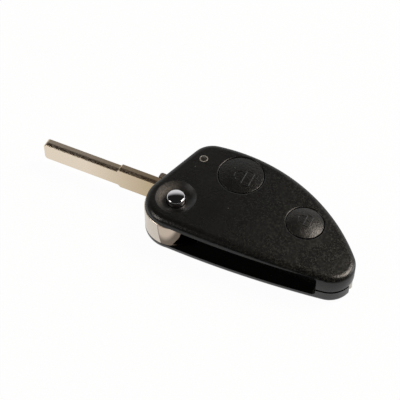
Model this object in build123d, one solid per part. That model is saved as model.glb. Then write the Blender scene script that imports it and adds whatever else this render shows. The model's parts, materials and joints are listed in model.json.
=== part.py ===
from build123d import *
import os
from math import acos, atan2, cos, hypot, pi, sin, sqrt

# A flip-key fob: a two-part moulded case with a steel blade that swings out on a
# die-cast carrier. Millimetres. The origin is where the pivot axis meets the base
# plane, +X runs to the narrow end, +Y to the curved back edge and +Z up.
# The blade stands open, along -X, as in the photograph.

# Plan of the case: three round corners joined by one straight and two long arcs.
# The carrier stands a little proud of the pivot corner, on a lip of its own radius.
pivot_corner_x, pivot_corner_y = 0.45, -0.1
pivot_corner_inset = 0.2
back_corner_x, back_corner_y = 4.3, 18.6
back_corner_radius = 7.8
narrow_end_x, narrow_end_y = 53.3, 0.45
narrow_end_radius = 8.0
back_edge_radius = 60.5
slot_edge_radius = 330.0

# Heights and walls of the case
case_height = 15.3
crown_radius = 490.0
parting_height = 5.2
top_edge_round = 2.1
base_edge_round = 1.8
side_wall = 1.8
top_wall = 1.8
floor_wall = 1.6
partition_wall = 1.4
parting_groove_height = 0.8
parting_groove_depth = 0.8

# Blade
blade_front_y = 4.7
blade_thickness = 3.2
blade_length = 51.7
blade_drop = 0.1
root_depth = 8.6
root_length = 23.2
tip_depth = 6.9
tang_depth = 5.6
blade_step_ramp = 0.8
blade_edge_bevel = 0.2
blade_tip_round = 1.2

# Blade carrier
carrier_radius = 10.3
carrier_height = 8.8
carrier_floor = 1.4
carrier_flange = 0.8
shoulder_inset = 0.1
shoulder_inner_x = 1.0
shoulder_corner_round = 0.8
shoulder_thickness = 2.0
spring_bore_radius = 4.7
key_count = 3
key_start_angle = 90.0
key_width = 2.0
key_depth = 0.9
tang_end_x = 2.6
root_seat_inset = 2.3
scoop_top_x = 6.4
scoop_bend_x = 5.3
scoop_foot_x = 3.3
scoop_bend_rise = 3.6
scoop_wall = 1.3
pin_radius = 1.0
pin_wall = 0.35
pin_slit = 0.4
pin_inset = 4.1
pin_inner_y = 0.5
pin_sink = 0.3

# Pivot boss of the lower case and collar of the upper case
pivot_boss_radius = 2.0
pivot_boss_rise = 1.9
collar_height = 1.0
collar_bore_radius = 3.15

# Release button and its spring
button_radius = 2.95
button_stand = 0.7
button_dome = 0.45
button_edge_round = 0.5
button_travel = 2.5
button_flange_height = 0.9
button_guide_radius = 1.9
dish_radius = 6.6
dish_floor_radius = 3.9
dish_roof = 1.3
dish_floor_slope = 0.25
dish_rim_slope = 1.33
spring_wire = 0.7
spring_radius = 3.6
spring_turns = 4
spring_seat_height = 0.5

# Face buttons
unlock_x, unlock_y = 15.1, 17.4
unlock_radius = 7.4
unlock_rise = 0.35
unlock_dome_radius = 60.0
lock_from_end_x, lock_y = 12.3, 9.15
lock_radius = 6.0
lock_rise = 0.75
lock_dome_radius = 24.0
face_button_gap = 0.3
face_button_flange = 0.45
face_button_flange_height = 0.8
face_button_pocket_gap = 0.15
face_button_travel = 0.6
face_button_edge_round = 0.2
face_hole_edge_round = 0.3
plunger_radius = 1.5

# Indicator lens
lens_x, lens_y = 1.2, 18.3
lens_radius = 1.4
lens_flange = 0.5
lens_flange_height = 0.6
lens_rise = 0.15
lens_dome_radius = 5.6

# Circuit board and what it carries
board_thickness = 1.0
board_margin = 0.4
switch_side = 4.5
switch_height = 1.9
switch_body_height = 1.4
switch_corner_round = 0.4
switch_plunger_radius = 1.0
led_length, led_width, led_height = 1.6, 0.9, 0.7
chip_y = 13.5
chip_length, chip_width, chip_height = 7.0, 5.0, 1.2
chip_bevel = 0.3

# Battery and its contacts
cell_y = 10.2
cell_radius = 10.0
cell_height = 3.2
cell_cap_radius = 8.6
cell_cap_step = 0.3
cell_edge_round = 0.4
contact_thickness = 0.25
contact_width = 5.0
contact_foot = 2.5
contact_leaf_reach = 7.0
contact_leaf_space = 0.65

# Transponder
transponder_x, transponder_y = 8.2, 17.2
transponder_length, transponder_width, transponder_height = 11.0, 5.6, 3.0
transponder_bevel = 0.8

# Screws and board posts
front_screw_x, front_screw_y = -1.5, 14.5
end_screw_in_x, end_screw_y = 3.8, 1.3
screw_radius = 1.0
screw_head_radius = 1.8
screw_head_height = 1.1
screw_length = 8.4
screw_sink = 0.3
screw_slot_width = 0.45
screw_slot_reach = 1.1
boss_radius = 2.3
post_places = [(10.0, 22.2), (13.4, 1.6), (43.6, 12.0)]
post_radius = 1.3

# Key-ring notch under the upper case, its post and the tongue that the post's foot stands in
notch_start = 0.9
notch_reach_low, notch_reach_high = 2.1, 4.2
notch_corner_round = 1.4
ring_post_inset = 0.3
ring_post_aside = 0.9
ring_post_radius = 1.0
ring_post_head_sink = 2.2
ring_post_foot_rise = 0.4
tongue_height = 1.0

# Slot for the blade
slot_floor = 2.5
slot_roof_fall = 0.8
slot_end_gap = 0.3
slot_corner_round = 1.4
blade_side_gap = 0.3

# Clearances
running_fit = 0.05
seat_gap = 0.05
open_gap = 0.3
spring_side_gap = 0.1

# Working values: a little overlap where one form grows out of another, how far a cut
# runs past the face that it opens, and a length greater than any in the fob
join = 0.1
past = 1.0
far = 100.0

carrier_bottom = slot_floor + open_gap
carrier_top = carrier_bottom + carrier_height
bore_floor = carrier_bottom + carrier_floor
blade_back_y = blade_front_y + blade_thickness
slot_end_x = blade_length + slot_end_gap
pocket_radius = carrier_radius + open_gap
shoulder_back_y = blade_back_y + seat_gap + shoulder_thickness
cell_low = floor_wall + 2 * seat_gap + contact_thickness
cell_top = cell_low + cell_height
board_height = cell_top + contact_leaf_space
board_top = board_height + board_thickness
pivot_corner_radius = carrier_radius - pivot_corner_inset
shoulder_reach = carrier_radius - shoulder_inset
root_seat_x = carrier_radius - root_seat_inset
pin_x = carrier_radius - pin_inset
slot_top_at_pivot = carrier_top + open_gap
slot_top_at_end = slot_top_at_pivot - slot_roof_fall
dish_depth = case_height - slot_top_at_pivot - dish_roof
slot_inner_y = blade_side_gap - blade_front_y
collar_low = slot_top_at_pivot - collar_height
boss_top = slot_floor + pivot_boss_rise
blade_mid_height = carrier_bottom + carrier_height / 2 - blade_drop
lock_x = narrow_end_x - lock_from_end_x
cell_x = (unlock_x + lock_x) / 2
chip_x = cell_x
notch_back_x = narrow_end_x + notch_start
notch_low_y = narrow_end_y - notch_reach_low
notch_high_y = narrow_end_y + notch_reach_high
ring_post_x = narrow_end_x + narrow_end_radius - ring_post_inset - ring_post_radius
ring_post_y = narrow_end_y + ring_post_aside
screw_places = [(front_screw_x, front_screw_y), (narrow_end_x - end_screw_in_x, end_screw_y)]


def crown(x, drop=0.0):
    """Height of the crowned top face at x, or of a surface a given drop below it."""
    return case_height - crown_radius + sqrt((crown_radius - drop) ** 2 - x ** 2)


def on_circle(centre, radius, angle):
    return (centre[0] + radius * cos(angle), centre[1] + radius * sin(angle))


def holding_centre(first, first_radius, second, second_radius, radius):
    """Centre of the large circle that both corner circles touch from inside."""
    dx, dy = second[0] - first[0], second[1] - first[1]
    span = hypot(dx, dy)
    a, b = radius - first_radius, radius - second_radius
    along = (a * a - b * b + span * span) / (2 * span)
    across = sqrt(a * a - along * along)
    return (first[0] + (dx * along - dy * across) / span, first[1] + (dy * along + dx * across) / span)


def direction(start, end):
    return atan2(end[1] - start[1], end[0] - start[0])


def case_outline(inset=0.0):
    """The plan of the case, moved inwards by inset. Every arc keeps its centre."""
    pivot, back, end = (pivot_corner_x, pivot_corner_y), (back_corner_x, back_corner_y), (narrow_end_x, narrow_end_y)
    slot_centre = holding_centre(pivot, pivot_corner_radius, end, narrow_end_radius, slot_edge_radius)
    back_centre = holding_centre(end, narrow_end_radius, back, back_corner_radius, back_edge_radius)
    span = hypot(back[0] - pivot[0], back[1] - pivot[1])
    front = direction(pivot, back) + acos((pivot_corner_radius - back_corner_radius) / span)
    slot_start, slot_stop = direction(slot_centre, pivot), direction(slot_centre, end)
    back_start, back_stop = direction(back_centre, end), direction(back_centre, back)

    def arc(centre, radius, start, stop):
        while stop < start:
            stop += 2 * pi
        size = radius - inset
        middle = (start + stop) / 2
        return ThreePointArc(*(on_circle(centre, size, angle) for angle in (start, middle, stop)))

    front_edge = Line(
        on_circle(back, back_corner_radius - inset, front),
        on_circle(pivot, pivot_corner_radius - inset, front),
    )
    edges = [
        arc(pivot, pivot_corner_radius, front, slot_start),
        arc(slot_centre, slot_edge_radius, slot_start, slot_stop),
        arc(end, narrow_end_radius, slot_stop, back_start),
        arc(back_centre, back_edge_radius, back_start, back_stop),
        arc(back, back_corner_radius, back_stop, front),
        front_edge,
    ]
    return make_face(Wire(edges))


def block(x0, x1, y0, y1, z0, z1):
    return Pos((x0 + x1) / 2, (y0 + y1) / 2, (z0 + z1) / 2) * Box(x1 - x0, y1 - y0, z1 - z0)


def rod(x, y, z0, z1, radius):
    return Pos(x, y, (z0 + z1) / 2) * Cylinder(radius, z1 - z0)


def cone(x, y, z0, z1, lower, upper):
    return Pos(x, y, (z0 + z1) / 2) * Cone(lower, upper, z1 - z0)


def prism(face, z0, z1):
    return Pos(0, 0, z0) * extrude(face, amount=z1 - z0)


def under_crown(drop=0.0):
    """Everything under the crowned top face, or under a surface a drop below it."""
    return Pos(0, 0, case_height - crown_radius) * Rot(90, 0, 0) * Cylinder(crown_radius - drop, 4 * far)


def dome(x, y, rise, radius):
    """A sphere whose top stands rise above the crowned face at (x, y), square to it."""
    tilt = x / crown_radius
    reach = crown_radius + rise - radius
    return Pos(reach * sin(tilt), y, case_height - crown_radius + reach * cos(tilt)) * Sphere(radius)


def profile_xz(points, y0, y1):
    """A flat outline drawn in X and Z, thickened from y0 to y1."""
    face = make_face(Polyline(*points, close=True))
    return Pos(0, y1, 0) * extrude(Plane.XZ * face, amount=y1 - y0)


def top_rim(body):
    """The closed edge round the highest face."""
    top = body.faces().sort_by(Axis.Z)[-1]
    return [edge for edge in top.edges() if edge.is_closed]


def case_blank():
    body = prism(case_outline(), 0, case_height) & under_crown()
    rim = body.faces().sort_by(Axis.Z)[-1].edges()
    body = fillet(rim, top_edge_round)
    base = body.faces().sort_by(Axis.Z)[0].edges()
    return fillet(base, base_edge_round)


def blade_way():
    """Space that the carrier and the blade sweep between open and folded."""
    drum = rod(0, 0, slot_floor, slot_top_at_pivot, pocket_radius)
    slot = profile_xz(
        [(0, slot_floor), (slot_end_x, slot_floor), (slot_end_x, slot_top_at_end), (0, slot_top_at_pivot)],
        -far,
        slot_inner_y,
    )
    end_corners = slot.edges().filter_by(Axis.Y).group_by(Axis.X)[-1]
    slot = fillet(end_corners, slot_corner_round)
    shoulder = block(
        -far,
        -shoulder_inner_x,
        0,
        shoulder_back_y + open_gap,
        slot_floor,
        slot_top_at_pivot,
    )
    return drum + slot + shoulder


def electronics_room():
    """Plan of the room beside the blade slot, as a face."""
    room = case_outline(side_wall)
    wall_y = slot_inner_y + partition_wall
    end_x = notch_back_x - partition_wall
    room -= Pos(0, wall_y - far, 0) * Rectangle(4 * far, 2 * far)
    room -= Pos(end_x + far, 0) * Rectangle(2 * far, 4 * far)
    room -= Circle(pocket_radius + partition_wall)
    corner_y = shoulder_back_y + open_gap + partition_wall
    room -= Pos(-far - shoulder_inner_x, corner_y - far) * Rectangle(2 * far, 2 * far)
    return room


def ring_notch():
    """Space round the key-ring post, open below but for the tongue behind the post's foot."""
    notch = block(notch_back_x, notch_back_x + far, notch_low_y, notch_high_y, -past, parting_height)
    notch = fillet(notch.edges().filter_by(Axis.Z).group_by(Axis.X)[0], notch_corner_round)
    low_y, high_y = ring_post_y - ring_post_radius, ring_post_y + ring_post_radius
    return notch - block(0, ring_post_x, low_y, high_y, -2 * past, tongue_height)


def parting_groove():
    ring = case_outline(-past) - case_outline(parting_groove_depth)
    half = parting_groove_height / 2
    return prism(ring, parting_height - half, parting_height + half)


def screw_space(x, y):
    """Stepped hole for one countersunk screw, from under the base."""
    head_top = screw_sink + screw_head_height
    space = rod(x, y, -past, screw_sink, screw_head_radius + running_fit)
    space += cone(x, y, screw_sink, head_top, screw_head_radius + running_fit, screw_radius + running_fit)
    tip = screw_sink + screw_length + seat_gap
    return space + rod(x, y, head_top - join, tip, screw_radius + running_fit)


def ring_post_place(grow=0.0):
    head = parting_height + ring_post_head_sink
    return rod(ring_post_x, ring_post_y, ring_post_foot_rise - grow, head + grow, ring_post_radius + grow)


def pivot_lip():
    """Foot of the pivot corner, as wide as the carrier that stands on it."""
    lip = rod(0, 0, 0, slot_floor, carrier_radius)
    return fillet(lip.edges().group_by(Axis.Z)[0], base_edge_round)


def lower_case():
    body = case_blank() & block(-far, far, -far, far, -past, parting_height)
    body += pivot_lip()
    body -= blade_way()
    body -= prism(electronics_room(), floor_wall, far)
    body -= ring_notch()
    body -= parting_groove()
    for x, y in screw_places:
        body += rod(x, y, floor_wall - join, parting_height, boss_radius)
        body -= screw_space(x, y)
    for x, y in post_places:
        body += rod(x, y, floor_wall - join, board_height, post_radius)
    body += rod(0, 0, slot_floor - join, boss_top, pivot_boss_radius)
    return body - ring_post_place(running_fit)


def release_dish():
    """Bowl round the release button, turned about the pivot axis."""
    top = case_height
    floor = top - dish_depth
    above = top + past
    bowl = make_face(
        [
            Line((0, floor), (dish_floor_radius, floor)),
            Spline(
                (dish_floor_radius, floor),
                (dish_radius, top),
                tangents=((1, dish_floor_slope), (1, dish_rim_slope)),
            ),
            Line((dish_radius, top), (dish_radius, above)),
            Line((dish_radius, above), (0, above)),
            Line((0, above), (0, floor)),
        ]
    )
    return revolve(Plane.XZ * bowl, Axis.Z)


def face_hole(x, y, radius):
    """Opening for a face button, with the wider pocket that its flange moves in."""
    opening = rod(x, y, board_top, case_height + past, radius + face_button_gap)
    pocket = radius + face_button_gap + face_button_flange + face_button_pocket_gap
    return opening + (rod(x, y, board_top, case_height, pocket) & under_crown(top_wall))


def rim_round(body, x, y, radius):
    """Edges of a hole where it opens in the crowned face."""
    rims = []
    for edge in body.edges():
        points = [edge @ share for share in (0.0, 0.5)]
        if all(abs(hypot(p.X - x, p.Y - y) - radius) < join and p.Z > crown(p.X) - join for p in points):
            rims.append(edge)
    return rims


def upper_case():
    body = case_blank() & block(-far, far, -far, far, parting_height, case_height + past)
    room = prism(electronics_room(), 0, case_height) & under_crown(top_wall)
    body -= room
    body -= blade_way()
    body -= parting_groove()
    for x, y in screw_places:
        body += rod(x, y, parting_height, crown(x, top_wall) + join, boss_radius)
        body -= screw_space(x, y)
    body += rod(0, 0, collar_low, slot_top_at_pivot + join, spring_bore_radius - running_fit)
    body -= rod(0, 0, collar_low - past, case_height + past, collar_bore_radius)
    body -= release_dish()
    for x, y, radius in [(unlock_x, unlock_y, unlock_radius), (lock_x, lock_y, lock_radius)]:
        body -= face_hole(x, y, radius)
        body = fillet(rim_round(body, x, y, radius + face_button_gap), face_hole_edge_round)
    body -= rod(lens_x, lens_y, board_top, case_height + past, lens_radius + running_fit)
    return body - ring_post_place(running_fit)


def face_button(x, y, radius, rise, dome_radius):
    """Domed cap, the flange that keeps it in the case and the plunger on its switch."""
    ceiling = under_crown(top_wall + seat_gap)
    lowest = crown(x, top_wall) - face_button_flange_height
    cap = rod(x, y, lowest, case_height + past, radius) & dome(x, y, rise, dome_radius)
    cap = fillet(top_rim(cap), face_button_edge_round)
    flange = rod(x, y, lowest, case_height, radius + face_button_gap + face_button_flange) & ceiling
    switch_top = board_top + switch_height
    plunger = rod(x, y, switch_top + face_button_travel + seat_gap, lowest + join, plunger_radius)
    return cap + flange + plunger


def release_button():
    """Chromed cap, stem, keyed flange and the guide inside the spring."""
    top = case_height + button_stand
    flange_top = collar_low - seat_gap
    flange_low = flange_top - button_flange_height
    stem = rod(0, 0, flange_low, top, button_radius)
    radius = (button_radius ** 2 + button_dome ** 2) / (2 * button_dome)
    stem &= Pos(0, 0, top - radius) * Sphere(radius)
    stem = fillet(top_rim(stem), button_edge_round)
    slide_radius = spring_bore_radius - 2 * running_fit
    flange = rod(0, 0, flange_low, flange_top, slide_radius)
    keys = bore_keys(flange_low, flange_top, -2 * running_fit)
    guide = rod(0, 0, boss_top + button_travel + open_gap, flange_low + join, button_guide_radius)
    return stem + flange + keys + guide


def bore_keys(z0, z1, grow=0.0):
    """Ribs round the spring bore that make the button turn with the carrier."""
    reach = spring_bore_radius + key_depth + grow
    width = key_width + 2 * grow
    rib = block(spring_bore_radius / 2, reach, -width / 2, width / 2, z0, z1)
    turns = [key_start_angle + index * 360 / key_count for index in range(key_count)]
    ribs = Rot(0, 0, turns[0]) * rib
    for turn in turns[1:]:
        ribs += Rot(0, 0, turn) * rib
    return ribs


def blade_carrier():
    body = rod(0, 0, carrier_bottom, carrier_top, carrier_radius)
    body += block(
        -shoulder_reach, -shoulder_inner_x, blade_front_y, shoulder_back_y, carrier_bottom, carrier_top,
    )
    corner = body.edges().filter_by(Axis.Z).sort_by(Axis.X)[0:2]
    body = fillet(corner, shoulder_corner_round)
    scoop_floor = carrier_bottom + carrier_flange
    scoop = profile_xz(
        [
            (scoop_foot_x, scoop_floor),
            (2 * carrier_radius, scoop_floor),
            (2 * carrier_radius, carrier_top + past),
            (scoop_top_x, carrier_top + past),
            (scoop_bend_x, scoop_floor + scoop_bend_rise),
        ],
        -2 * carrier_radius,
        0,
    )
    body -= scoop - rod(0, 0, 0, far, spring_bore_radius + scoop_wall)
    body -= rod(0, 0, bore_floor, carrier_top + past, spring_bore_radius)
    key_low = bore_floor + carrier_floor
    body -= bore_keys(key_low, carrier_top + past)
    body -= rod(0, 0, carrier_bottom - past, bore_floor + past, pivot_boss_radius + running_fit)
    low_y, high_y = blade_front_y - seat_gap, blade_back_y + seat_gap
    low_z, high_z = carrier_bottom - past, carrier_top + past
    body -= block(-2 * carrier_radius, -root_seat_x, low_y, high_y, low_z, high_z)
    tang_half = tang_depth / 2 + seat_gap
    body -= block(
        -root_seat_x - past,
        -tang_end_x + seat_gap,
        low_y,
        high_y,
        blade_mid_height - tang_half,
        blade_mid_height + tang_half,
    )
    return body - pin_space(running_fit)


def pin_space(grow=0.0):
    low_y, high_y = pin_inner_y - grow, shoulder_back_y - pin_sink
    if grow:
        high_y = shoulder_back_y + past
    pin = Cylinder(pin_radius + grow, high_y - low_y)
    return Pos(-pin_x, (low_y + high_y) / 2, blade_mid_height) * Rot(90, 0, 0) * pin


def blade_roll_pin():
    """Sheet steel rolled to a tube, with its slit facing down."""
    length = 4 * carrier_radius
    place = Pos(-pin_x, 0, blade_mid_height)
    pin = pin_space() - place * Rot(90, 0, 0) * Cylinder(pin_radius - pin_wall, length)
    return pin - place * Pos(0, 0, -pin_radius) * Box(pin_slit, length, pin_radius)


def blade():
    """Uncut blank: deeper at the root, stepped to the tip, with bevelled edges."""
    half_root, half_tip, half_tang = root_depth / 2, tip_depth / 2, tang_depth / 2
    mid = blade_mid_height
    seat = root_seat_x + seat_gap
    step = root_length
    upper = [
        (-tang_end_x, mid + half_tang),
        (-seat, mid + half_tang),
        (-seat, mid + half_root),
        (-step, mid + half_root),
        (-step - blade_step_ramp, mid + half_tip),
        (-blade_length, mid + half_tip),
    ]
    lower = [(x, 2 * mid - z) for x, z in reversed(upper)]
    body = profile_xz(upper + lower, blade_front_y, blade_back_y)
    tip_corners = body.edges().filter_by(Axis.Y).group_by(Axis.X)[0]
    body = fillet(tip_corners, blade_tip_round)
    sides = body.faces().filter_by(Axis.Y)
    rims = [edge for face in sides for edge in face.edges() if edge.center().X < -shoulder_reach]
    body = chamfer(rims, blade_edge_bevel)
    return body - pin_space(running_fit)


def spring_seat():
    low = bore_floor + seat_gap
    ring = rod(0, 0, low, low + spring_seat_height, spring_bore_radius - spring_side_gap)
    return ring - rod(0, 0, 0, carrier_top, pivot_boss_radius + open_gap)


def spring_ends():
    low = bore_floor + seat_gap + spring_seat_height + seat_gap
    high = collar_low - seat_gap - button_flange_height - seat_gap
    return low, high


def flip_spring():
    low, high = spring_ends()
    rise = high - low - spring_wire
    coil = Helix(pitch=rise / spring_turns, height=rise, radius=spring_radius)
    start = Plane(origin=coil @ 0, z_dir=coil % 0)
    wire = sweep(start * Circle(spring_wire / 2), path=coil, is_frenet=True)
    return Pos(0, 0, low + spring_wire / 2) * wire


def led_lens():
    """Clear light guide from the lamp on the board to the face."""
    lamp_top = board_top + seat_gap + led_height
    guide = rod(lens_x, lens_y, lamp_top + seat_gap, case_height + past, lens_radius)
    guide &= dome(lens_x, lens_y, lens_rise, lens_dome_radius)
    ceiling = under_crown(top_wall + seat_gap)
    flange_low = crown(lens_x, top_wall) - lens_flange_height
    return guide + (rod(lens_x, lens_y, flange_low, case_height, lens_radius + lens_flange) & ceiling)


def circuit_board():
    """The board fills the room, short of the walls, the screw bosses and the key-ring end."""
    room = offset(electronics_room(), amount=-board_margin, kind=Kind.INTERSECTION)
    end_x = screw_places[-1][0] - boss_radius - board_margin
    room -= Pos(end_x + far, 0) * Rectangle(2 * far, 4 * far)
    for x, y in screw_places:
        room -= Pos(x, y) * Circle(boss_radius + board_margin)
    board = room.faces().sort_by(SortBy.AREA)[-1]
    return prism(board, board_height + seat_gap, board_top)


def tactile_switch(x, y):
    base = board_top + seat_gap
    body = block(
        x - switch_side / 2, x + switch_side / 2, y - switch_side / 2, y + switch_side / 2,
        base, base + switch_body_height,
    )
    body = fillet(body.edges().filter_by(Axis.Z), switch_corner_round)
    return body + rod(x, y, base, board_top + switch_height, switch_plunger_radius)


def indicator_led():
    base = board_top + seat_gap
    half_length, half_width = led_length / 2, led_width / 2
    return block(
        lens_x - half_length, lens_x + half_length, lens_y - half_width, lens_y + half_width,
        base, base + led_height,
    )


def control_chip():
    base = board_top + seat_gap
    body = block(
        chip_x - chip_length / 2, chip_x + chip_length / 2, chip_y - chip_width / 2, chip_y + chip_width / 2,
        base, base + chip_height,
    )
    return chamfer(body.faces().sort_by(Axis.Z)[-1].edges(), chip_bevel)


def coin_cell():
    can = rod(cell_x, cell_y, cell_low, cell_top - cell_cap_step, cell_radius)
    can = fillet(can.edges().group_by(Axis.Z)[0], cell_edge_round)
    return can + rod(cell_x, cell_y, cell_low + cell_edge_round, cell_top, cell_cap_radius)


def positive_contact():
    """Strip under the cell, turned up beside it to reach the board."""
    low = floor_wall + seat_gap
    side = cell_x + cell_radius + open_gap
    y0, y1 = cell_y - contact_width / 2, cell_y + contact_width / 2
    strip = block(cell_x - contact_foot, side + contact_thickness, y0, y1, low, low + contact_thickness)
    riser = block(side, side + contact_thickness, y0, y1, low, board_height)
    return strip + riser


def negative_contact():
    """Leaf under the board, bent down to press on the cell."""
    touch = cell_top + seat_gap
    y0, y1 = cell_y - contact_width / 2, cell_y + contact_width / 2
    foot_x, tip_x = cell_x - contact_leaf_reach, cell_x
    bend_x = foot_x + contact_foot
    t = contact_thickness
    leaf = profile_xz(
        [
            (foot_x, board_height),
            (foot_x, board_height - t),
            (bend_x, board_height - t),
            (tip_x, touch),
            (tip_x + contact_foot, touch),
            (tip_x + contact_foot, touch + t),
            (tip_x, touch + t),
            (bend_x, board_height),
        ],
        y0,
        y1,
    )
    return leaf


def transponder():
    """Carbon wedge beside the cell."""
    low = floor_wall + seat_gap
    x0, x1 = transponder_x - transponder_length / 2, transponder_x + transponder_length / 2
    y0, y1 = transponder_y - transponder_width / 2, transponder_y + transponder_width / 2
    wedge = block(x0, x1, y0, y1, low, low + transponder_height)
    return chamfer(wedge.faces().sort_by(Axis.X)[0].edges().filter_by(Axis.Y), transponder_bevel)


def case_screw(x, y):
    head_top = screw_sink + screw_head_height
    head = cone(x, y, screw_sink, head_top, screw_head_radius, screw_radius)
    shank = rod(x, y, head_top - join, screw_sink + screw_length, screw_radius)
    slots = block(
        x - screw_head_radius, x + screw_head_radius, y - screw_slot_width / 2, y + screw_slot_width / 2,
        0, screw_sink + screw_head_height / 2,
    )
    slots += Pos(x, y, 0) * Rot(0, 0, 90) * Pos(-x, -y, 0) * slots
    reach = rod(x, y, 0, head_top, screw_slot_reach)
    return head + shank - (slots & reach)


def case_screws():
    first, second = screw_places
    return Compound([case_screw(*first).solid(), case_screw(*second).solid()])


pieces = {
    "upper_case": upper_case,
    "lower_case": lower_case,
    "blade": blade,
    "blade_carrier": blade_carrier,
    "blade_roll_pin": blade_roll_pin,
    "release_button": release_button,
    "flip_spring": flip_spring,
    "spring_seat": spring_seat,
    "unlock_button": lambda: face_button(unlock_x, unlock_y, unlock_radius, unlock_rise, unlock_dome_radius),
    "lock_button": lambda: face_button(lock_x, lock_y, lock_radius, lock_rise, lock_dome_radius),
    "led_lens": led_lens,
    "circuit_board": circuit_board,
    "unlock_switch": lambda: tactile_switch(unlock_x, unlock_y),
    "lock_switch": lambda: tactile_switch(lock_x, lock_y),
    "indicator_led": indicator_led,
    "control_chip": control_chip,
    "coin_cell": coin_cell,
    "positive_contact": positive_contact,
    "negative_contact": negative_contact,
    "transponder": transponder,
    "key_ring_post": ring_post_place,
    "case_screws": case_screws,
}

os.makedirs("parts", exist_ok=True)
for name, make in pieces.items():
    export_step(make(), f"parts/{name}.step")
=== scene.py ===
import json
import math

import bmesh
import bpy
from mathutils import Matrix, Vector
from mathutils.bvhtree import BVHTree


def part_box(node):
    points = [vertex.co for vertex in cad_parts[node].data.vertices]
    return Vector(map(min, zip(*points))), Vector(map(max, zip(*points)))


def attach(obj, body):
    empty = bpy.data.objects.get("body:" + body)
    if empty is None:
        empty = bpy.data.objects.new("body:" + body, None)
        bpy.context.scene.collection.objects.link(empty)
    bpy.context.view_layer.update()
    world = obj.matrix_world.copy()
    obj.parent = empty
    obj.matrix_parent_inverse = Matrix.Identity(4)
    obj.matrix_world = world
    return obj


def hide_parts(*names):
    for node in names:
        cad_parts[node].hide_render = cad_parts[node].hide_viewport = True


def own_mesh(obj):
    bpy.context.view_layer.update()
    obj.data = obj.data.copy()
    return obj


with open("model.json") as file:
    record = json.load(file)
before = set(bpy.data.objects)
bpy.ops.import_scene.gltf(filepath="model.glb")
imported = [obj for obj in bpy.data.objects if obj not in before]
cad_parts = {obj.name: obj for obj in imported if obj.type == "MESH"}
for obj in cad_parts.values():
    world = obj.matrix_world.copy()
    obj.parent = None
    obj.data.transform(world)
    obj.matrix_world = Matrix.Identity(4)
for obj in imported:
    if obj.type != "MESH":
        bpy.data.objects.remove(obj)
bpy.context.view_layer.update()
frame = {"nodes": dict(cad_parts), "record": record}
nodes = frame["nodes"]
scene = bpy.context.scene
mm = 0.001


# Camera: a long lens, 51 degrees above the table, turned 25 degrees to the key-ring side

view_azimuth = math.radians(25.3)
view_elevation = math.radians(51.25)
view_distance = 450 * mm
view_focal_length = 124.3
view_target = Vector((5.0, 7.4, 8.0)) * mm

toward_camera = Vector((
    math.sin(view_azimuth) * math.cos(view_elevation),
    -math.cos(view_azimuth) * math.cos(view_elevation),
    math.sin(view_elevation),
))
camera = bpy.data.objects.new("camera", bpy.data.cameras.new("camera"))
camera.data.lens = view_focal_length
camera.data.clip_start = 10 * mm
camera.location = view_target + toward_camera * view_distance
camera.rotation_euler = (-toward_camera).to_track_quat("-Z", "Y").to_euler()
scene.collection.objects.link(camera)
scene.camera = camera
scene.view_settings.view_transform = "Standard"


# Materials: every pattern takes its size in real millimetres. The grain of the mouldings and of the
# castings and the cutter's lines are drawn three to five times coarser than on a real fob, where
# they would be finer than a pixel of this picture.

def srgb(code):
    """Turns an sRGB hex colour into the linear values that a shader takes."""
    parts = [int(code[i:i + 2], 16) / 255 for i in (1, 3, 5)]
    return [*(p / 12.92 if p <= 0.04045 else ((p + 0.055) / 1.055) ** 2.4 for p in parts), 1.0]


def per_metre(size_mm):
    """Gives a pattern's scale in object coordinates, which are metres, from its grain's size."""
    return 1 / (size_mm * mm)


def add_node(tree, kind, inputs=None, **settings):
    """Adds one node with its settings, and gives each named input a value or a link."""
    node = tree.nodes.new(kind)
    for name, value in settings.items():
        setattr(node, name, value)
    for name, value in (inputs or {}).items():
        if isinstance(value, bpy.types.NodeSocket):
            tree.links.new(value, node.inputs[name])
        else:
            node.inputs[name].default_value = value
    return node


def new_material(name):
    """Makes an empty node material and returns it with its tree and its object coordinates."""
    material = bpy.data.materials.new(name)
    material.use_nodes = True
    tree = material.node_tree
    tree.nodes.clear()
    return material, tree, add_node(tree, "ShaderNodeTexCoord").outputs["Object"]


def close_material(material, tree, surface):
    """Links a shader to the material's output."""
    add_node(tree, "ShaderNodeOutputMaterial", {"Surface": surface.outputs[0]})
    return material


def pivot_distance(tree, place):
    """Measures how far each point lies from the blade's pivot axis."""
    flat = add_node(tree, "ShaderNodeVectorMath", {0: place, 1: [1, 1, 0]}, operation="MULTIPLY")
    reach = add_node(tree, "ShaderNodeVectorMath", {0: flat.outputs[0]}, operation="LENGTH")
    return reach.outputs["Value"]


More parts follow.
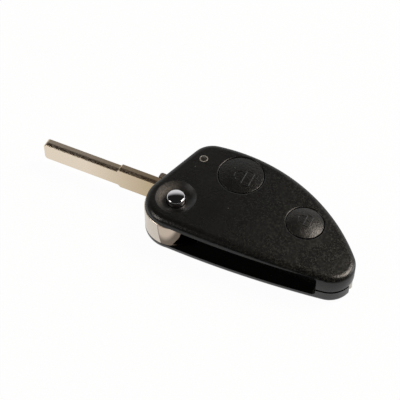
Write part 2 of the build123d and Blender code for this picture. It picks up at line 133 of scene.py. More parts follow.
def finish(
    name, dark, light, patch_mm, rough, grain_mm, relief_mm, metallic=0.0, stretch=(1, 1, 1),
    **constants,
):
    """Makes a surface whose colour and gloss drift in patches and whose grain stands up by a small
    relief. dark and light are the ends of its colour, rough the ends of its roughness, and stretch
    lengthens the grain."""
    material, tree, place = new_material(name)
    patches = add_node(tree, "ShaderNodeTexNoise", {
        "Vector": place, "Scale": per_metre(patch_mm), "Detail": 3.0, "Roughness": 0.55,
    })
    colour = add_node(tree, "ShaderNodeMix", {
        0: patches.outputs["Fac"], 6: srgb(dark), 7: srgb(light),
    }, data_type="RGBA")
    gloss = add_node(tree, "ShaderNodeMapRange", {
        "Value": patches.outputs["Fac"], "From Min": 0.3, "From Max": 0.7,
        "To Min": rough[0], "To Max": rough[1],
    })
    along = add_node(tree, "ShaderNodeMapping", {
        "Vector": place, "Scale": [1 / length for length in stretch],
    })
    grain = add_node(tree, "ShaderNodeTexNoise", {
        "Vector": along.outputs["Vector"], "Scale": per_metre(grain_mm),
        "Detail": 2.0, "Roughness": 0.6,
    })
    relief = add_node(tree, "ShaderNodeBump", {
        "Height": grain.outputs["Fac"], "Distance": relief_mm * mm,
    })
    surface = add_node(tree, "ShaderNodeBsdfPrincipled", {
        "Base Color": colour.outputs[2], "Roughness": gloss.outputs[0],
        "Normal": relief.outputs["Normal"], "Metallic": metallic, **constants,
    })
    return close_material(material, tree, surface)


def moulded_abs(
    name, dark, light, rough, pebble_mm, grain_mm, relief_mm, dust_share,
    dish_radius_mm=0.0, lean=0.0, glitter=0.0,
):
    """ABS moulded against an etched steel tool: soft pebbles under a fine spark grain. The tops of
    the grain are painted lighter where they face up above the blade's slot, most at the key-ring
    end, a painted sheen for the lamp's light there, and a few pale specks of dust lie on it.

    Within dish_radius_mm of the pivot lies the release button's dish. Its side toward the open
    blade is more matt, and a paler band is painted there, a painted highlight where light falls on
    that side. Lean is how far the wall's shading tips up between the parting line and the
    shoulder, as a wall with draft does.
    highlight."""
    material, tree, place = new_material(name)
    where = add_node(tree, "ShaderNodeSeparateXYZ", {"Vector": place})
    facing = add_node(tree, "ShaderNodeNewGeometry").outputs["Normal"]

    # Grain: spark grain on pebbles that are half as steep
    pebble_slope = 0.5
    pebbles = add_node(tree, "ShaderNodeTexNoise", {
        "Vector": place, "Scale": per_metre(pebble_mm), "Detail": 2.0, "Roughness": 0.5,
        "Distortion": 0.6,
    })
    grain = add_node(tree, "ShaderNodeTexNoise", {
        "Vector": place, "Scale": per_metre(grain_mm), "Detail": 2.0, "Roughness": 0.6,
    })
    low = add_node(tree, "ShaderNodeMath", {
        0: pebbles.outputs["Fac"], 1: pebble_mm / grain_mm * pebble_slope,
    }, operation="MULTIPLY")
    height = add_node(tree, "ShaderNodeMath", {
        0: low.outputs[0], 1: grain.outputs["Fac"],
    }, operation="ADD")

    # Draft: an upward vector, longer the higher it stands, tips the normal
    parting_line, shoulder = 5.2 * mm, 13.2 * mm
    climb = add_node(tree, "ShaderNodeMapRange", {
        "Value": where.outputs["Z"], "From Min": parting_line, "From Max": shoulder,
        "To Min": 0.0, "To Max": lean,
    })
    upright = add_node(tree, "ShaderNodeCombineXYZ", {"Z": climb.outputs[0]})
    upright = add_node(tree, "ShaderNodeVectorTransform", {
        "Vector": upright.outputs[0],
    }, vector_type="VECTOR", convert_from="OBJECT", convert_to="WORLD")
    leaning = add_node(tree, "ShaderNodeVectorMath", {
        0: facing, 1: upright.outputs[0],
    }, operation="ADD")
    leaning = add_node(tree, "ShaderNodeVectorMath", {0: leaning.outputs[0]}, operation="NORMALIZE")
    relief = add_node(tree, "ShaderNodeBump", {
        "Height": height.outputs[0], "Distance": relief_mm * mm, "Normal": leaning.outputs[0],
    })

    # Painted sheen: the grain's highest clumps are painted lighter on upward faces above the slot,
    #     # most toward the key-ring end, where the lamp's sheen falls
    pebble_part = 0.7
    sheen_from, sheen_to = 14 * mm, 44 * mm
    below_roof, slot_roof = 9.5 * mm, 11 * mm
    sheen_toward_ring_end = add_node(tree, "ShaderNodeMapRange", {
        "Value": where.outputs["X"], "From Min": sheen_from, "From Max": sheen_to,
        "To Min": 0.12, "To Max": 1.0,
    })
    clumps = add_node(tree, "ShaderNodeMath", {
        0: pebbles.outputs["Fac"], 1: pebble_part, 2: grain.outputs["Fac"],
    }, operation="MULTIPLY_ADD")
    tops = add_node(tree, "ShaderNodeMapRange", {
        "Value": clumps.outputs[0], "From Min": 0.8, "From Max": 1.15,
    })
    tilt = add_node(tree, "ShaderNodeSeparateXYZ", {"Vector": facing})
    upward = add_node(tree, "ShaderNodeMapRange", {
        "Value": tilt.outputs["Z"], "From Min": 0.1, "From Max": 0.6,
    })
    painted_shading = add_node(tree, "ShaderNodeMapRange", {
        "Value": where.outputs["Z"], "From Min": below_roof, "From Max": slot_roof,
    })
    for mask in (upward, sheen_toward_ring_end, tops):
        painted_shading = add_node(tree, "ShaderNodeMath", {
            0: painted_shading.outputs[0], 1: mask.outputs[0],
        }, operation="MULTIPLY")
    # The light end of this mix shows only as painted sheen on the grain's tops
    plastic = add_node(tree, "ShaderNodeMix", {
        0: painted_shading.outputs[0], 6: srgb(dark), 7: srgb(light),
    }, data_type="RGBA")

    # Painted highlight in the dish, on its side toward the blade: it starts off the release button
    #     # and thins out at the dish's rim
    reach_from, reach_to = 1.5 * mm, 5.0 * mm
    band_start, band_full = 3.6 * mm, 5.2 * mm
    band_end, dish_rim = 5.4 * mm, 6.6 * mm
    off_axis = pivot_distance(tree, place)
    dish = add_node(tree, "ShaderNodeMath", {
        0: off_axis, 1: dish_radius_mm * mm,
    }, operation="LESS_THAN")
    blade_side = add_node(tree, "ShaderNodeVectorMath", {
        0: place, 1: [-0.98, 0.2, 0],
    }, operation="DOT_PRODUCT")
    reached = add_node(tree, "ShaderNodeMapRange", {
        "Value": blade_side.outputs["Value"], "From Min": reach_from, "From Max": reach_to,
    })
    painted_dish_highlight = add_node(tree, "ShaderNodeMapRange", {
        "Value": off_axis, "From Min": band_start, "From Max": band_full,
        "To Min": 0.25, "To Max": 1.0,
    })
    rim = add_node(tree, "ShaderNodeMapRange", {
        "Value": off_axis, "From Min": band_end, "From Max": dish_rim,
        "To Min": 1.0, "To Max": 0.3,
    })
    crests = add_node(tree, "ShaderNodeMapRange", {
        "Value": grain.outputs["Fac"], "From Min": 0.38, "From Max": 0.68,
        "To Min": 0.25, "To Max": 1.0,
    })
    for mask in (rim, reached, dish, crests):
        painted_dish_highlight = add_node(tree, "ShaderNodeMath", {
            0: painted_dish_highlight.outputs[0], 1: mask.outputs[0],
        }, operation="MULTIPLY")
    # The pale grey here is the painted highlight on the dish's lit side
    moulding = add_node(tree, "ShaderNodeMix", {
        0: painted_dish_highlight.outputs[0], 6: plastic.outputs[2], 7: srgb("#6a645d"),
    }, data_type="RGBA")

    # Gloss: it drifts in patches, and the dish and the grain's valleys add roughness to it
    patch_mm = 9.0
    coarse_from, coarse_to = -3 * mm, 4 * mm
    patches = add_node(tree, "ShaderNodeTexNoise", {
        "Vector": place, "Scale": per_metre(patch_mm), "Detail": 4.0, "Roughness": 0.6,
    })
    gloss = add_node(tree, "ShaderNodeMapRange", {
        "Value": patches.outputs["Fac"], "From Min": 0.3, "From Max": 0.7,
        "To Min": rough[0], "To Max": rough[1],
    })
    coarse = add_node(tree, "ShaderNodeMapRange", {
        "Value": blade_side.outputs["Value"], "From Min": coarse_from, "From Max": coarse_to,
        "To Min": 0.12, "To Max": 0.32,
    })
    matt = add_node(tree, "ShaderNodeMath", {
        0: dish.outputs[0], 1: coarse.outputs[0], 2: gloss.outputs[0],
    }, operation="MULTIPLY_ADD")
    valleys = add_node(tree, "ShaderNodeMapRange", {
        "Value": grain.outputs["Fac"], "From Min": 0.4, "From Max": 0.62,
        "To Min": glitter, "To Max": 0.0,
    })
    matt = add_node(tree, "ShaderNodeMath", {
        0: matt.outputs[0], 1: valleys.outputs[0],
    }, operation="ADD")

    # Dust: a speck, a small part of its cell, in only a share of the cells
    dust_cell_mm = 2.4
    speck_part = 0.07
    dust = add_node(tree, "ShaderNodeTexVoronoi", {
        "Vector": place, "Scale": per_metre(dust_cell_mm),
    }, feature="F1")
    near = add_node(tree, "ShaderNodeMath", {
        0: dust.outputs["Distance"], 1: speck_part,
    }, operation="LESS_THAN")
    lot = add_node(tree, "ShaderNodeSeparateColor", {"Color": dust.outputs["Color"]})
    chosen = add_node(tree, "ShaderNodeMath", {
        0: lot.outputs[0], 1: dust_share,
    }, operation="LESS_THAN")
    speck = add_node(tree, "ShaderNodeMath", {
        0: near.outputs[0], 1: chosen.outputs[0],
    }, operation="MULTIPLY")
    colour = add_node(tree, "ShaderNodeMix", {
        0: speck.outputs[0], 6: moulding.outputs[2], 7: srgb("#7d7a70"),
    }, data_type="RGBA")
    surface = add_node(tree, "ShaderNodeBsdfPrincipled", {
        "Base Color": colour.outputs[2], "Roughness": matt.outputs[0],
        "Normal": relief.outputs["Normal"], "IOR": 1.47,
    })
    return close_material(material, tree, surface)


def plated_blade(name):
    """Steel blank under satin nickel: pale and a little pink at the tip, yellower toward the root.
    The cutter left its upper and lower edges duller, and along the front half of them they turn
    darker and mottled brown."""
    material, tree, place = new_material(name)
    where = add_node(tree, "ShaderNodeSeparateXYZ", {"Vector": place})
    facing = add_node(tree, "ShaderNodeSeparateXYZ", {
        "Vector": add_node(tree, "ShaderNodeTexCoord").outputs["Normal"],
    })

    # Sides: the tint goes over from the tip's to the root's
    tip_tint_end, root_tint_start = -36 * mm, -10 * mm
    along = add_node(tree, "ShaderNodeMapRange", {
        "Value": where.outputs["X"], "From Min": tip_tint_end, "From Max": root_tint_start,
    })
    side = add_node(tree, "ShaderNodeMix", {
        0: along.outputs[0], 6: srgb("#dfd1bd"), 7: srgb("#b4a080"),
    }, data_type="RGBA")

    # Edges: the cutter's marks dull them, and a dark brown mottling stops at a ragged line half-way
    # across
    mottle_mm = 0.9
    ragged = 1.2 * mm
    mottle_stop, mottle_end = 6.6 * mm, 7.0 * mm
    edge_steepness = 0.9
    edge_dullness = 0.3
    mottle = add_node(tree, "ShaderNodeTexNoise", {
        "Vector": place, "Scale": per_metre(mottle_mm), "Detail": 3.0, "Roughness": 0.7,
    })
    reach = add_node(tree, "ShaderNodeMath", {
        0: mottle.outputs["Fac"], 1: ragged, 2: where.outputs["Y"],
    }, operation="MULTIPLY_ADD")
    front = add_node(tree, "ShaderNodeMapRange", {
        "Value": reach.outputs[0], "From Min": mottle_stop, "From Max": mottle_end,
        "To Min": 1.0, "To Max": 0.0,
    })
    steep = add_node(tree, "ShaderNodeMath", {0: facing.outputs["Z"]}, operation="ABSOLUTE")
    edge = add_node(tree, "ShaderNodeMath", {
        0: steep.outputs[0], 1: edge_steepness,
    }, operation="GREATER_THAN")
    mottled = add_node(tree, "ShaderNodeMath", {
        0: edge.outputs[0], 1: front.outputs[0],
    }, operation="MULTIPLY")
    deep = add_node(tree, "ShaderNodeMapRange", {
        "Value": mottle.outputs["Fac"], "From Min": 0.42, "From Max": 0.56,
        "To Min": 0.6, "To Max": 1.0,
    })
    dark = add_node(tree, "ShaderNodeMath", {
        0: mottled.outputs[0], 1: deep.outputs[0],
    }, operation="MULTIPLY")
    dull = add_node(tree, "ShaderNodeMath", {
        0: edge.outputs[0], 1: edge_dullness,
    }, operation="MULTIPLY")
    plate = add_node(tree, "ShaderNodeMix", {
        0: dull.outputs[0], 6: side.outputs[2], 7: srgb("#7a6a5b"),
    }, data_type="RGBA")
    colour = add_node(tree, "ShaderNodeMix", {
        0: dark.outputs[0], 6: plate.outputs[2], 7: srgb("#4b3d31"),
    }, data_type="RGBA")
    matt = add_node(tree, "ShaderNodeMapRange", {
        "Value": edge.outputs[0], "To Min": 0.24, "To Max": 0.42,
    })

    # Cutter lines: fine ones that run along the blade
    line_mm, line_length_mm = 0.12, 2.0
    line_relief = 0.002 * mm
    lines = add_node(tree, "ShaderNodeMapping", {
        "Vector": place, "Scale": [line_mm / line_length_mm, 1, 1],
    })
    cut = add_node(tree, "ShaderNodeTexNoise", {
        "Vector": lines.outputs["Vector"], "Scale": per_metre(line_mm),
        "Detail": 2.0, "Roughness": 0.6,
    })
    relief = add_node(tree, "ShaderNodeBump", {
        "Height": cut.outputs["Fac"], "Distance": line_relief,
    })
    surface = add_node(tree, "ShaderNodeBsdfPrincipled", {
        "Base Color": colour.outputs[2], "Roughness": matt.outputs[0],
        "Normal": relief.outputs["Normal"], "Metallic": 1.0,
    })
    return close_material(material, tree, surface)


def plated_drum(name):
    """Zinc casting under satin nickel: warm and pale outside, with one curved seam where the two
    halves of the casting mould met. It is painted a little lighter before the seam than past it, a
    painted reflection, and darker below the seam on the front, a painted reflection of the black
    slot floor. Inside the drum's wall it is painted dark, a painted shade."""
    material, tree, place = new_material(name)
    where = add_node(tree, "ShaderNodeSeparateXYZ", {"Vector": place})
    turn = add_node(tree, "ShaderNodeMath", {
        0: where.outputs["Y"], 1: where.outputs["X"],
    }, operation="ARCTAN2")

    # Seam: from its top it bends round the drum with the square of the depth. All turns here are
    # in radians round the pivot.
    seam_top = 12 * mm
    seam_bearing = math.radians(-99.1)
    seam_bend = math.radians(0.075) / mm ** 2
    seam_step = 0.01
    line_core, line_edge = 0.006, 0.022
    depth = add_node(tree, "ShaderNodeMath", {
        0: seam_top, 1: where.outputs["Z"],
    }, operation="SUBTRACT")
    square = add_node(tree, "ShaderNodeMath", {0: depth.outputs[0], 1: 2.0}, operation="POWER")
    seam = add_node(tree, "ShaderNodeMath", {
        0: square.outputs[0], 1: seam_bend, 2: seam_bearing,
    }, operation="MULTIPLY_ADD")
    past_seam = add_node(tree, "ShaderNodeMath", {
        0: turn.outputs[0], 1: seam.outputs[0],
    }, operation="SUBTRACT")
    later = add_node(tree, "ShaderNodeMapRange", {
        "Value": past_seam.outputs[0], "From Min": 0.0, "From Max": seam_step,
    })
    # Painted reflection: the drum is painted lighter before the seam than past it
    halves_with_painted_reflection = add_node(tree, "ShaderNodeMix", {
        0: later.outputs[0], 6: srgb("#c9bfb3"), 7: srgb("#bdae9f"),
    }, data_type="RGBA")
    away = add_node(tree, "ShaderNodeMath", {0: past_seam.outputs[0]}, operation="ABSOLUTE")
    line = add_node(tree, "ShaderNodeMapRange", {
        "Value": away.outputs[0], "From Min": line_core, "From Max": line_edge,
        "To Min": 0.75, "To Max": 0.0,
    })
    outside = add_node(tree, "ShaderNodeMix", {
        0: line.outputs[0], 6: halves_with_painted_reflection.outputs[2], 7: srgb("#5d5248"),
    }, data_type="RGBA")

    # Painted reflection of the black slot floor: past the seam on the front, lower at its bearing
    # and
    #     # higher to both sides
    shade_bearing = math.radians(-88)
    shade_bend = 30 * mm
    shade_start, shade_full = 4.2 * mm, 8.2 * mm
    aside = add_node(tree, "ShaderNodeMath", {
        0: turn.outputs[0], 1: shade_bearing,
    }, operation="SUBTRACT")
    aside = add_node(tree, "ShaderNodeMath", {0: aside.outputs[0], 1: 2.0}, operation="POWER")
    toward_scoop = add_node(tree, "ShaderNodeMath", {
        0: aside.outputs[0], 1: shade_bend, 2: depth.outputs[0],
    }, operation="MULTIPLY_ADD")
    painted_shading = add_node(tree, "ShaderNodeMapRange", {
        "Value": toward_scoop.outputs[0], "From Min": shade_start, "From Max": shade_full,
    }, interpolation_type="SMOOTHSTEP")
    front = add_node(tree, "ShaderNodeMath", {
        0: where.outputs["Y"], 1: 0.0,
    }, operation="LESS_THAN")
    for mask in (later, front):
        painted_shading = add_node(tree, "ShaderNodeMath", {
            0: painted_shading.outputs[0], 1: mask.outputs[0],
        }, operation="MULTIPLY")
    outside = add_node(tree, "ShaderNodeMix", {
        0: painted_shading.outputs[0], 6: outside.outputs[2], 7: srgb("#6c6156"),
    }, data_type="RGBA")

    # Inside: painted shade, dark within the drum's wall
    shaded_within, unshaded_beyond = 7.0 * mm, 9.0 * mm
    painted_inner_shade = add_node(tree, "ShaderNodeMapRange", {
        "Value": pivot_distance(tree, place), "From Min": shaded_within, "From Max": unshaded_beyond,
        "To Min": 1.0, "To Max": 0.0,
    })
    colour = add_node(tree, "ShaderNodeMix", {
        0: painted_inner_shade.outputs[0], 6: outside.outputs[2], 7: srgb("#262422"),
    }, data_type="RGBA")

    # Satin: soft patches of gloss over a fine casting grain
    patch_mm, grain_mm = 4.0, 0.2
    grain_relief = 0.001 * mm
    patches = add_node(tree, "ShaderNodeTexNoise", {
        "Vector": place, "Scale": per_metre(patch_mm), "Detail": 3.0, "Roughness": 0.55,
    })
    gloss = add_node(tree, "ShaderNodeMapRange", {
        "Value": patches.outputs["Fac"], "From Min": 0.3, "From Max": 0.7,
        "To Min": 0.24, "To Max": 0.32,
    })
    grain = add_node(tree, "ShaderNodeTexNoise", {
        "Vector": place, "Scale": per_metre(grain_mm), "Detail": 2.0, "Roughness": 0.6,
    })
    relief = add_node(tree, "ShaderNodeBump", {
        "Height": grain.outputs["Fac"], "Distance": grain_relief,
    })
    surface = add_node(tree, "ShaderNodeBsdfPrincipled", {
        "Base Color": colour.outputs[2], "Roughness": gloss.outputs[0],
        "Normal": relief.outputs["Normal"], "Metallic": 1.0,
    })
    return close_material(material, tree, surface)


materials = {
    # Black ABS with an etched leather grain: a deep grey-black with a broken sheen, and a painted
    #     # sheen on the grain's tops toward the key-ring end
    "moulded_black_abs": moulded_abs(
        "moulded_black_abs", "#0f0f0e", "#3b3c38", (0.25, 0.3), 0.9, 0.5, 0.035, 0.12,
        dish_radius_mm=6.7, lean=0.5),
    # The button caps have the same grain and painted sheen on a slightly greyer plastic, and it
    # glitters
    "black_button_plastic": moulded_abs(
        "black_button_plastic", "#0f0f0e", "#32312d", (0.21, 0.26), 0.8, 0.45, 0.06, 0.05,
        glitter=0.12),
    # Zinc casting under satin nickel: warm, pale and soft
    "satin_nickel_zinc": plated_drum("satin_nickel_zinc"),
    # Milled steel blank under satin nickel: pale sides, dull brown edges
    "satin_nickel_blade": plated_blade("satin_nickel_blade"),
    # Polished chrome plate: a hard mirror with the faintest orange peel
    "bright_chrome": finish(
        "bright_chrome", "#d2d0d3", "#d8d6d9", 3.0, (0.05, 0.09), 1.2, 0.0006, 1.0),
    # Drawn spring wire: grey, with drawing lines
    "spring_steel": finish(
        "spring_steel", "#8e8c88", "#a19e98", 2.0, (0.25, 0.4), 0.1, 0.002, 1.0),
    # Ground pins: bright steel with fine rings
    "pin_steel": finish(
        "pin_steel", "#aeaba4", "#bebab3", 2.0, (0.2, 0.32), 0.1, 0.002, 1.0,
        stretch=(1, 1, 0.4)),
    # Clear acrylic light guide: glassy, with the dark inside of the case showing through
    "clear_acrylic": finish(
        "clear_acrylic", "#b9b6ae", "#cfccc4", 1.0, (0.02, 0.06), 0.5, 0.0006, IOR=1.49,
        **{"Transmission Weight": 0.95}),
    # Glass-epoxy board under green solder mask: half-gloss with the weave just showing
    "green_fibreglass_board": finish(
        "green_fibreglass_board", "#12502f", "#1d6a3e", 1.5, (0.3, 0.45), 0.4, 0.006, IOR=1.5),
    # Black moulded switch bodies: plain and half-matt
    "black_switch_plastic": finish(
        "black_switch_plastic", "#191919", "#242423", 1.5, (0.45, 0.6), 0.15, 0.006, IOR=1.5),
    # Water-clear epoxy of the indicator: a faintly yellow drop
    "water_clear_epoxy": finish(
        "water_clear_epoxy", "#e6e3d2", "#f3f1e4", 0.5, (0.05, 0.12), 0.4, 0.001, IOR=1.52,
        **{"Transmission Weight": 0.8}),
    # Moulded chip package: fine matt black
    "black_chip_epoxy": finish(
        "black_chip_epoxy", "#161616", "#1f1f1f", 1.0, (0.55, 0.7), 0.1, 0.004, IOR=1.55),
    # Nickel-plated cell can: bright with fine turned lines
    "cell_steel": finish(
        "cell_steel", "#c4c3bf", "#d0cfca", 4.0, (0.16, 0.26), 0.2, 0.001, 1.0),
    # Tinned spring sheet: pale, slightly cloudy
    "tinned_spring_sheet": finish(
        "tinned_spring_sheet", "#b9b8b0", "#cac9c2", 1.5, (0.25, 0.4), 0.3, 0.002, 1.0),
    # Pressed carbon-black resin of the transponder: dry and dark
    "transponder_resin": finish(
        "transponder_resin", "#1a1a19", "#262625", 1.5, (0.6, 0.75), 0.2, 0.008, IOR=1.5),
    # Black-oxide screws: dark blue-grey with a dry sheen
    "black_oxide_steel": finish(
        "black_oxide_steel", "#2b2c2e", "#3a3b3d", 1.0, (0.35, 0.5), 0.15, 0.003, 1.0),
}

for row in frame["record"]["subparts"]:
    mesh = nodes[row["node"]].data
    mesh.materials.clear()
    mesh.materials.append(materials[row["material_slot"]])


# Pieces that only the picture has

def new_piece(name, shape, material, smooth=False):
    """Turns a built shape into a piece of the scene with one material."""
    mesh = bpy.data.meshes.new(name)
    shape.to_mesh(mesh)
    shape.free()
    for face in mesh.polygons:
        face.use_smooth = smooth
    mesh.materials.append(material)
    piece = bpy.data.objects.new(name, mesh)
    scene.collection.objects.link(piece)
    return piece


def join_sections(shape, sections, closed):
    """Joins each section of a shape to the next by a strip of faces. A closed run also joins its
    last section to its first, and an open one gets a face at each end."""
    following = sections[1:] + sections[:1] if closed else sections[1:]
    for here, there in zip(sections, following):
        for a in range(len(here)):
            b = (a + 1) % len(here)
            shape.faces.new((here[a], there[a], there[b], here[b]))
    if not closed:
        shape.faces.new(sections[0])
        shape.faces.new(reversed(sections[-1]))
    bmesh.ops.recalc_face_normals(shape, faces=shape.faces)


# Carrier: tumbling before the plating rounded the drum's upper rim, which catches a line of light

drum_radius = 10.3
drum_top = 11.6
rim_round = 0.45
rim_rows = 5
rim_tolerance = 0.03
sharp_from = math.radians(40)


def tumbled_carrier():
    """Copies the carrier with the drum's upper rim rounded."""
    cast = bmesh.new()
    cast.from_mesh(nodes["blade_carrier"].data)
    for row in range(rim_rows):
        height = drum_top - rim_round * (1 - math.sin(math.pi / 2 * row / rim_rows))
        bmesh.ops.bisect_plane(
            cast, geom=cast.verts[:] + cast.edges[:] + cast.faces[:], dist=0.001 * mm,
            plane_co=(0, 0, height * mm), plane_no=(0, 0, 1))
    for vert in cast.verts:
        reach = math.hypot(vert.co.x, vert.co.y) / mm
        rise = vert.co.z / mm - (drum_top - rim_round)
        if abs(reach - drum_radius) < rim_tolerance and rise > 0:
            inward = rim_round - math.sqrt(max(rim_round ** 2 - rise ** 2, 0))
            vert.co.x *= 1 - inward / reach
            vert.co.y *= 1 - inward / reach
    piece = new_piece("tumbled_carrier", cast, materials["satin_nickel_zinc"], smooth=True)
    piece.data.set_sharp_from_angle(angle=sharp_from)
    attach(piece, "blade_unit")
    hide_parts("blade_carrier")


tumbled_carrier()


# Spring: a copy of the flip spring on a mesh of its own, riding with the blade unit


def working_spring():
    """Copies the flip spring onto a mesh of its own, riding with the blade unit."""
    coil = bpy.data.objects.new("working_spring", nodes["flip_spring"].data.copy())
    scene.collection.objects.link(coil)
    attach(coil, "blade_unit")
    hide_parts("flip_spring")
    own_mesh(coil)


working_spring()


# Icons: a padlock raised on each face button, open on the large one and closed on the small one

line_width = 0.5
line_rise = 0.15
# Across a line: places as shares of its width, and heights as shares of its rise
line_profile = ((-0.5, -1.0), (-0.38, 0.3), (-0.16, 0.9), (0.16, 0.9), (0.38, 0.3), (0.5, -1.0))
corner_radius = 0.45
corner_steps, bow_steps = 4, 12
# Shares of a padlock's body: the shackle's radius of half its width, the keyhole of its height
bow_share = 0.62
keyhole_far, keyhole_near = 0.65, 0.35


def raised_line(name, cap, path, closed):
    """Makes a low rounded ridge along a path of plan points, following the dome of a button cap.
    Its foot sinks into the cap."""
    cap_mesh = bmesh.new()
    cap_mesh.from_mesh(nodes[cap].data)
    dome = BVHTree.FromBMesh(cap_mesh)
    cap_mesh.free()
    ridge = bmesh.new()
    sections = []
    last = len(path) - 1
    for i, (x, y) in enumerate(path):
        before = path[i - 1] if closed or i > 0 else path[0]
        after = path[(i + 1) % len(path)] if closed or i < last else path[last]
        along = (Vector(after) - Vector(before)).normalized()
        side = Vector((-along.y, along.x))
        section = []
        for shift, lift in line_profile:
            plan = (Vector((x, y)) + side * shift * line_width) * mm
            above = Vector((plan.x, plan.y, 1.0))
            top = dome.ray_cast(above, Vector((0, 0, -1)))[0].z
            section.append(ridge.verts.new((plan.x, plan.y, top + line_rise * lift * mm)))
        sections.append(section)
    join_sections(ridge, sections, closed)
    piece = new_piece(name, ridge, materials["black_button_plastic"])
    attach(piece, cap)


def arc(centre, radius, start, end, steps):
    """Lists plan points along an arc, with its angles in degrees."""
    turns = [math.radians(start + (end - start) * i / steps) for i in range(steps + 1)]
    return [(centre[0] + radius * math.cos(t), centre[1] + radius * math.sin(t)) for t in turns]


def padlock(cap, foot, body, bow_reach, lift):
    """Draws a padlock whose shackle points to -X, the blade's side. foot is the middle of the
    body's edge at the key-ring side, body its height and width, and bow_reach how far the shackle
    stands out. A lift leaves one leg of the shackle short of the body, as on an open lock."""
    x, y = foot
    height, half = body[0], body[1] / 2
    top = x - height
    outline = []
    for corner_x, corner_y, start in (
        (x - corner_radius, y + half - corner_radius, 0),
        (top + corner_radius, y + half - corner_radius, 90),
        (top + corner_radius, y - half + corner_radius, 180),
        (x - corner_radius, y - half + corner_radius, 270),
    ):
        outline += arc((corner_x, corner_y), corner_radius, start, start + 90, corner_steps)
    radius = bow_share * half
    bow = [
        (top, y + radius),
        *arc((top - bow_reach + radius, y), radius, 90, 270, bow_steps),
        (top - lift, y - radius),
    ]
    keyhole = [(x - keyhole_far * height, y), (x - keyhole_near * height, y)]
    raised_line(f"{cap}_padlock_body", cap, outline, closed=True)
    raised_line(f"{cap}_padlock_shackle", cap, bow, closed=False)
    raised_line(f"{cap}_padlock_keyhole", cap, keyhole, closed=False)


padlock("unlock_button", (18.9, 16.8), (2.6, 5.8), 3.3, 1.0)
padlock("lock_button", (42.7, 9.9), (2.0, 4.4), 2.4, 0.0)


# Indicator: a painted glint, a pale ring raised round the clear middle of the light guide

edge_radius = 1.42
edge_seat = 15.28
edge_turns = 64
# Across the ring: how far in from its outside, and how high over its seat
edge_profile = ((0, -0.5), (0, 0.02), (0.1, 0.08), (0.28, 0.1), (0.4, 0.02), (0.4, -0.5))


def painted_lens_glint():
    """Makes a pale ring seated on the lens, a painted glint on its edge."""
    low, high = (Vector(corner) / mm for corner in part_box("led_lens"))
    middle_x, middle_y = (low.x + high.x) / 2, (low.y + high.y) / 2
    ring = bmesh.new()
    sections = []
    for i in range(edge_turns):
        turn = 2 * math.pi * i / edge_turns
        section = []
        for inset, rise in edge_profile:
            x = middle_x + (edge_radius - inset) * math.cos(turn)
            y = middle_y + (edge_radius - inset) * math.sin(turn)
            section.append(ring.verts.new((x * mm, y * mm, (edge_seat + rise) * mm)))
        sections.append(section)
    join_sections(ring, sections, closed=True)
    # Painted glint: patches that drift between near-black and pale grey
    glint_grey = finish("painted_glint_acrylic", "#100f0e", "#b5b2a7", 1.4, (0.3, 0.5), 0.2, 0.02, IOR=1.49)
    piece = new_piece("lens_glint_ring", ring, glint_grey, smooth=True)
    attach(piece, "case")


painted_lens_glint()


# Studio: a white floor, a lit paper wall behind the object, a dark room in front and soft lamps

floor_half = 2.0
fibre_mm = 40.0
white_share = 0.97


def plain_sweep():
    """White paper. The camera, metal and clear plastic see it nearly white by itself, and the rest
    of it is lit, which keeps the object's shadow. Its tone drifts softly, as in a roll of paper."""
    material, tree, place = new_material("white_paper_sweep")
    fibres = add_node(tree, "ShaderNodeTexNoise", {
        "Vector": place, "Scale": per_metre(fibre_mm), "Detail": 2.0,
    })
    tone = add_node(tree, "ShaderNodeMix", {
        0: fibres.outputs["Fac"], 6: srgb("#f4f4f2"), 7: srgb("#f8f8f6"),
    }, data_type="RGBA")
    lit = add_node(tree, "ShaderNodeBsdfDiffuse", {"Color": tone.outputs[2]})
    glow = add_node(tree, "ShaderNodeEmission", {"Strength": 1.0})
    path = add_node(tree, "ShaderNodeLightPath")
    seen = path.outputs["Is Camera Ray"]
    for kind in ("Is Glossy Ray", "Is Transmission Ray"):
        seen = add_node(tree, "ShaderNodeMath", {
            0: seen, 1: path.outputs[kind],
        }, operation="MAXIMUM").outputs[0]
    share = add_node(tree, "ShaderNodeMath", {0: seen, 1: white_share}, operation="MULTIPLY")
    mixed = add_node(tree, "ShaderNodeMixShader", {
        0: share.outputs[0], 1: lit.outputs[0], 2: glow.outputs[0],
    })
    return close_material(material, tree, mixed)


floor_mesh = bpy.data.meshes.new("floor")
floor_mesh.from_pydata([
    (-floor_half, -floor_half, 0), (floor_half, -floor_half, 0),
    (floor_half, floor_half, 0), (-floor_half, floor_half, 0),
], [], [(0, 1, 2, 3)])
floor_mesh.materials.append(plain_sweep())
floor = bpy.data.objects.new("floor", floor_mesh)
scene.collection.objects.link(floor)

# A ray's climb is its rise for each step toward the wall, so it says how high up the paper the
# ray lands. The paper is bright at its foot and fades out at its top, where the dark room begins.
# A ray that rises away from the wall climbs past any paper and meets the dark room.
wall_bearing = math.radians(115.3)
paper_light, room_light = 0.92, 0.015
fade_start, fade_end = 0.5, 1.2
least_step = 0.001
# Low down, the pale table goes on all round the room. The chromed cap's lower rim mirrors it as a
# thin crescent. Heights here are the rise of a ray of length one.
table_light = 0.5
table_start, table_end = 0.13, 0.21
white = [1, 1, 1, 1]

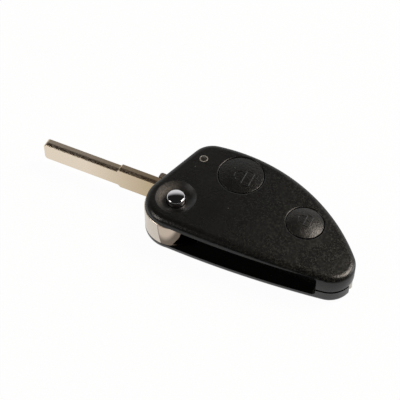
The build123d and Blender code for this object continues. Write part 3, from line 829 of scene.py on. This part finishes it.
world = bpy.data.worlds.new("light_tent")
world.use_nodes = True
tent = world.node_tree
tent.nodes.clear()
direction = add_node(tent, "ShaderNodeTexCoord").outputs["Generated"]
nearing = add_node(tent, "ShaderNodeVectorMath", {
    0: direction, 1: [math.cos(wall_bearing), math.sin(wall_bearing), 0],
}, operation="DOT_PRODUCT")
forward = add_node(tent, "ShaderNodeMath", {
    0: nearing.outputs["Value"], 1: least_step,
}, operation="MAXIMUM")
rising = add_node(tent, "ShaderNodeSeparateXYZ", {"Vector": direction})
climb = add_node(tent, "ShaderNodeMath", {
    0: rising.outputs["Z"], 1: forward.outputs[0],
}, operation="DIVIDE")
paper = add_node(tent, "ShaderNodeMapRange", {
    "Value": climb.outputs[0], "From Min": fade_start, "From Max": fade_end,
    "To Min": paper_light, "To Max": room_light,
}, interpolation_type="SMOOTHSTEP")
table = add_node(tent, "ShaderNodeMapRange", {
    "Value": rising.outputs["Z"], "From Min": table_start, "From Max": table_end,
    "To Min": table_light, "To Max": 0.0,
})
level = add_node(tent, "ShaderNodeMath", {
    0: paper.outputs[0], 1: table.outputs[0],
}, operation="MAXIMUM")
walls = add_node(tent, "ShaderNodeBackground", {"Color": white, "Strength": level.outputs[0]})
background = add_node(tent, "ShaderNodeBackground", {"Color": white, "Strength": 1.0})
straight = add_node(tent, "ShaderNodeLightPath")
either = add_node(tent, "ShaderNodeMixShader", {
    0: straight.outputs["Is Camera Ray"], 1: walls.outputs[0], 2: background.outputs[0],
})
add_node(tent, "ShaderNodeOutputWorld", {"Surface": either.outputs[0]})
scene.world = world

lamp_distance = 700 * mm


def soft_lamp(name, bearing, height, width_mm, watts, colour):
    """Hangs a round soft lamp that looks at the object from a bearing and a height in degrees."""
    turn, rise = math.radians(bearing), math.radians(height)
    place = Vector((
        math.cos(turn) * math.cos(rise), math.sin(turn) * math.cos(rise), math.sin(rise),
    ))
    lamp = bpy.data.lights.new(name, "AREA")
    lamp.shape = "DISK"
    lamp.size = width_mm * mm
    lamp.energy = watts
    lamp.color = srgb(colour)[:3]
    hung = bpy.data.objects.new(name, lamp)
    hung.location = view_target + place * lamp_distance
    hung.rotation_euler = (-place).to_track_quat("-Z", "Y").to_euler()
    scene.collection.objects.link(hung)


soft_lamp("key_softbox", 40, 52, 300, 3.3, "#fff3e6")
soft_lamp("side_reflector", 36, 20, 320, 0.95, "#ffffff")
soft_lamp("fill_softbox", 218, 38, 320, 1.3, "#fff8f0")
